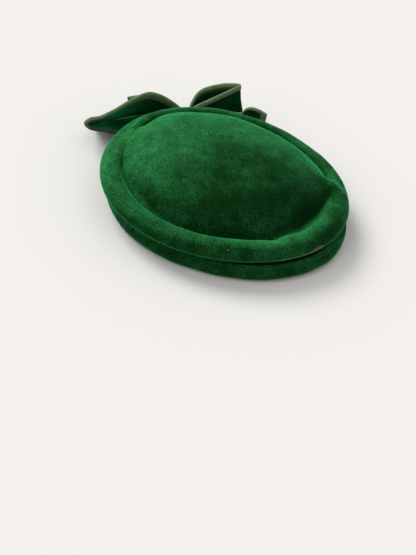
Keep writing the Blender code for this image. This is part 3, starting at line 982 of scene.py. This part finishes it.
def grosgrain(
        name, dark, light, reach, tip=1.0, beyond=(0.0, 0.0, 0.0), depth=1.0, sheen=RIBBON_SHEEN):
    """Ribbed ribbon, lighter along its fold, with a stitched line and a pale woven edge.

    Beyond the tip it has a darker tone within the depth of its free edge: painted shade where
    the ribbon lies in shade. By default the tip lies past the ribbon's end.
    """
    n = Nodes(name)
    place = n.add("ShaderNodeTexCoord").outputs["Object"]
    uv = n.add("ShaderNodeUVMap", uv_map="along_across").outputs[0]
    parts = n.add("ShaderNodeSeparateXYZ", {0: uv})
    ribs = n.math("SINE", n.math("MULTIPLY", parts.outputs[0], 2 * math.pi / RIB_SPACING))
    ribs = n.math("MULTIPLY_ADD", ribs, 0.5, 0.5)
    cloud = n.noise(place, 160.0, 3.0, 0.6)
    fibre = n.noise(place, 1500.0, 3.0, 0.6)
    ring = binding_shape(reach)[:13]
    width = float(np.linalg.norm(np.diff(ring, axis=0), axis=1).sum())
    from_edge = n.math("MINIMUM", parts.outputs[1], n.math("SUBTRACT", width, parts.outputs[1]))
    share = n.math("MULTIPLY_ADD", ribs, 0.35, n.remap(cloud, 0.3, 0.7, -0.1, 0.5))
    share = n.math("ADD", share, n.remap(from_edge, 0.45 * reach, 0.65 * reach, -0.08, 0.22, True))
    share = n.math("MULTIPLY_ADD", n.math("SUBTRACT", fibre, 0.5), 0.8, share)
    stitch = n.math("ABSOLUTE", n.math("SUBTRACT", from_edge, STITCH_FROM_EDGE))
    share = n.math("ADD", share, n.remap(stitch, 0.0001, 0.0004, -0.7, 0.0, True), clamp=True)
    # Painted shade: beyond the tip, near the free edge, the colour turns to the darker tone
    painted_shade = n.remap(parts.outputs[0], tip, tip + TIP_FADE, 0.0, 0.90, True)
    painted_shade = n.math("MULTIPLY", painted_shade, n.remap(from_edge, 0.9 * depth, 1.1 * depth, 1.0, 0.0, True))
    colour = n.mix(share, (*dark, 1.0), (*light, 1.0))
    soil = n.noise(place, 75.0, 3.0, 0.6)
    colour = n.mix(n.remap(soil, 0.52, 0.72, 0.0, 0.45, True), colour, (*SOIL_TONE, 1.0))
    pale = n.remap(from_edge, 0.0002, 0.0006, 0.75, 0.0, True)
    colour = n.mix(pale, colour, (1.5 * light[0], 1.35 * light[1], 1.4 * light[2], 1.0))
    colour = n.mix(painted_shade, colour, (*beyond, 1.0))
    n.join(colour, n.shader.inputs["Base Color"])
    n.shader.inputs["Roughness"].default_value = 0.68
    n.shader.inputs["Specular IOR Level"].default_value = 0.25
    n.shader.inputs["Sheen Weight"].default_value = sheen
    n.shader.inputs["Sheen Roughness"].default_value = 0.5
    n.shader.inputs["Sheen Tint"].default_value = (0.60, 0.70, 0.45, 1.0)
    relief = n.bump(ribs, 0.00035, 0.7)
    relief = n.bump(fibre, 0.0003, 0.4, relief)
    n.join(relief, n.shader.inputs["Normal"])
    return n.material


def plain_floor():
    """Pale studio surface."""
    n = Nodes("pale_floor")
    n.shader.inputs["Base Color"].default_value = (0.775, 0.758, 0.735, 1.0)
    n.shader.inputs["Roughness"].default_value = 0.85
    return n.material


# Assembly

def dress(piece, node, *materials):
    """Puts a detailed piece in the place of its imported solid."""
    for material in materials:
        piece.data.materials.append(material)
    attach(piece, "root")
    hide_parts(node)


def worn_edge(points):
    """Wear along the bottom of the roll at the front right."""
    x = points[:, 0] - SHIFT[0]
    y = points[:, 1] - SHIFT[1]
    angle = np.degrees(np.arctan2(y, x))
    radius = np.hypot(x, y)
    along = np.clip((angle - WORN_FROM) / WORN_FADES[0], 0, 1)
    along = along * np.clip((WORN_TO - angle) / WORN_FADES[1], 0, 1)
    place, width, rise = WORN_CREST
    top = WORN_TOP + rise * np.exp(-((angle - place) / width) ** 2)
    within = np.clip((points[:, 2] - WORN_LOW) / WORN_SOFT, 0, 1)
    within = within * np.clip((top - points[:, 2]) / WORN_SOFT + 0.5, 0, 1)
    return along * within * (radius > WORN_RADIUS)


def dress_body():
    """Crown, brim and knot."""
    crown = build_crown()
    add_float(crown, "wear", worn_edge)
    # The inner felt is also painted shade under the roll and on the brim's top beneath it
    inner_and_shade_felt = pressed_felt("inner_and_shaded_felt", *INNER_AND_SHADE_TONES)
    felt = velour("crown_velour", *HAT_TONES, PAINTED_LIGHT_AND_SHADE, CROWN_SPOTS, wear=True)
    dress(crown, "crown", felt, inner_and_shade_felt)
    dress(build_brim(), "brim", velour("brim_velour", *HAT_TONES), inner_and_shade_felt)
    dress(build_knot(), "bow_knot", velour("knot_velour", *HAT_TONES))


def loop_ribbon(side, level, edge, other, normal):
    """One ribbon of a loop, with its own reach and tones."""
    node = "loop_binding_" + level + "_" + side
    reach = RIBBON_REACH
    tones = RIBBON_TONES
    sheen = RIBBON_SHEEN
    tip = ()
    if level == "upper":
        # The tone beyond the upper ribbon's tip is painted shade
        before, after, tone, depth = UPPER_RIBBONS[side]
        reach, place = tip_reach(edge[clear_of_knot(edge)], before, after)
        tip = (place, tone, depth)
    # The left loop's lower ribbon gets darker tones and less sheen: painted shade
    elif side == "left":
        reach = NARROW_REACH
        tones = PAINTED_SHADE_RIBBON_TONES
        sheen = PAINTED_SHADE_SHEEN
    ribbon = loop_binding(node + "_ribbon", edge, other, normal, reach)
    dress(ribbon, node, grosgrain(node + "_grosgrain", *tones, np.max(reach), *tip, sheen=sheen))
    return ribbon


def dress_loops():
    """Both loops of the bow with their ribbons."""
    for side, table, marks in (("left", LEFT_LOOP, LEFT_LOOP_SPOTS), ("right", RIGHT_LOOP, ())):
        upper, lower = loop_edges(table)
        _, _, normal = strip_frame(upper, lower)
        strip = felt_strip("bow_loop_felt_" + side, upper, lower, LOOP_BELLY[side])
        # The loops' felt takes darker tones than the hat's: painted shade
        dress(strip, "bow_loop_" + side, velour("loop_shaded_velour_" + side, *LOOP_SHADE_TONES, spots=marks))
        ribbons = [
            loop_ribbon(side, "upper", upper, lower, normal),
            loop_ribbon(side, "lower", lower, upper, normal),
        ]


def dress_tails():
    """Both tails of the bow with their ribbons."""
    for side, edges, upper_reach in (
            ("left", loop_edges(LEFT_TAIL), RIBBON_REACH),
            ("right", rim_edges(RIGHT_TAIL), TAIL_REACH)):
        strip = felt_strip("bow_tail_felt_" + side, *edges, TAIL_BELLY)
        dress(strip, "bow_tail_" + side, velour("tail_velour_" + side, *HAT_TONES))
        node = "tail_binding_" + side
        ribbon = tail_binding(node + "_ribbon", *edges, upper_reach)
        dress(ribbon, node, grosgrain(node + "_grosgrain", *RIBBON_TONES, RIBBON_REACH))


FLOOR_HALF = 6.0


def build_floor():
    """Wide plain floor under the hat."""
    mesh = bpy.data.meshes.new("floor")
    half = FLOOR_HALF
    corners = [(-half, -half, 0), (half, -half, 0), (half, half, 0), (-half, half, 0)]
    mesh.from_pydata(corners, [], [(0, 1, 2, 3)])
    floor = bpy.data.objects.new("floor", mesh)
    bpy.context.scene.collection.objects.link(floor)
    mesh.materials.append(plain_floor())


# Camera and light

CAMERA_AZIMUTH = -25.5
CAMERA_ELEVATION = 35.7
CAMERA_ROLL = 13.26
CAMERA_DISTANCE = 1.0
FOCAL_PIXELS = 1000.0
PICTURE = (416, 555)
AIM_PIXEL = (224.39, 180.57)
AIM_HEIGHT = 0.030


def build_camera():
    """Camera at the photograph's viewing angle, with the hat at the photograph's place."""
    azimuth, elevation, roll = (
        math.radians(value) for value in (CAMERA_AZIMUTH, CAMERA_ELEVATION, CAMERA_ROLL))
    back = Vector((
        math.sin(azimuth) * math.cos(elevation),
        -math.cos(azimuth) * math.cos(elevation),
        math.sin(elevation)))
    right = Vector((math.cos(azimuth), math.sin(azimuth), 0.0))
    up = back.cross(right)
    rolled_right = math.cos(roll) * right + math.sin(roll) * up
    rolled_up = math.cos(roll) * up - math.sin(roll) * right
    turned = Matrix((rolled_right, rolled_up, back)).transposed()
    ray = Vector((
        (AIM_PIXEL[0] - PICTURE[0] / 2) / FOCAL_PIXELS,
        -(AIM_PIXEL[1] - PICTURE[1] / 2) / FOCAL_PIXELS,
        -1.0))
    aim = ray.rotation_difference(Vector((0.0, 0.0, -1.0))).to_matrix()
    rotation = turned @ aim
    place = Vector((SHIFT[0], SHIFT[1], AIM_HEIGHT)) + CAMERA_DISTANCE * back
    camera = bpy.data.objects.new("camera", bpy.data.cameras.new("camera"))
    camera.data.sensor_fit = "HORIZONTAL"
    camera.data.sensor_width = 36.0
    camera.data.lens = 36.0 * FOCAL_PIXELS / PICTURE[0]
    camera.matrix_world = Matrix.Translation(place) @ rotation.to_4x4()
    bpy.context.scene.collection.objects.link(camera)
    bpy.context.scene.camera = camera


def soft_sun(name, place, power, spread):
    """Even light from one direction with a soft edge to its shadow."""
    light = bpy.data.lights.new(name, "SUN")
    light.energy = power
    light.angle = math.radians(spread)
    lamp = bpy.data.objects.new(name, light)
    way = -Vector(place)
    lamp.matrix_world = Matrix.Translation(place) @ way.to_track_quat("-Z", "Y").to_matrix().to_4x4()
    bpy.context.scene.collection.objects.link(lamp)


def build_light():
    """Soft studio light from above, with a pale surround."""
    world = bpy.data.worlds.new("pale_surround")
    world.use_nodes = True
    world.node_tree.nodes["Background"].inputs["Color"].default_value = (1.0, 0.99, 0.98, 1.0)
    world.node_tree.nodes["Background"].inputs["Strength"].default_value = 0.60
    bpy.context.scene.world = world
    soft_sun("back_light", (-0.75, 1.0, 1.25), 1.9, 30.0)
    soft_sun("left_light", (-1.3, -0.5, 1.1), 0.7, 40.0)


build_camera()
dress_body()
dress_loops()
dress_tails()
build_floor()
build_light()
bpy.context.scene.view_settings.view_transform = "Standard"
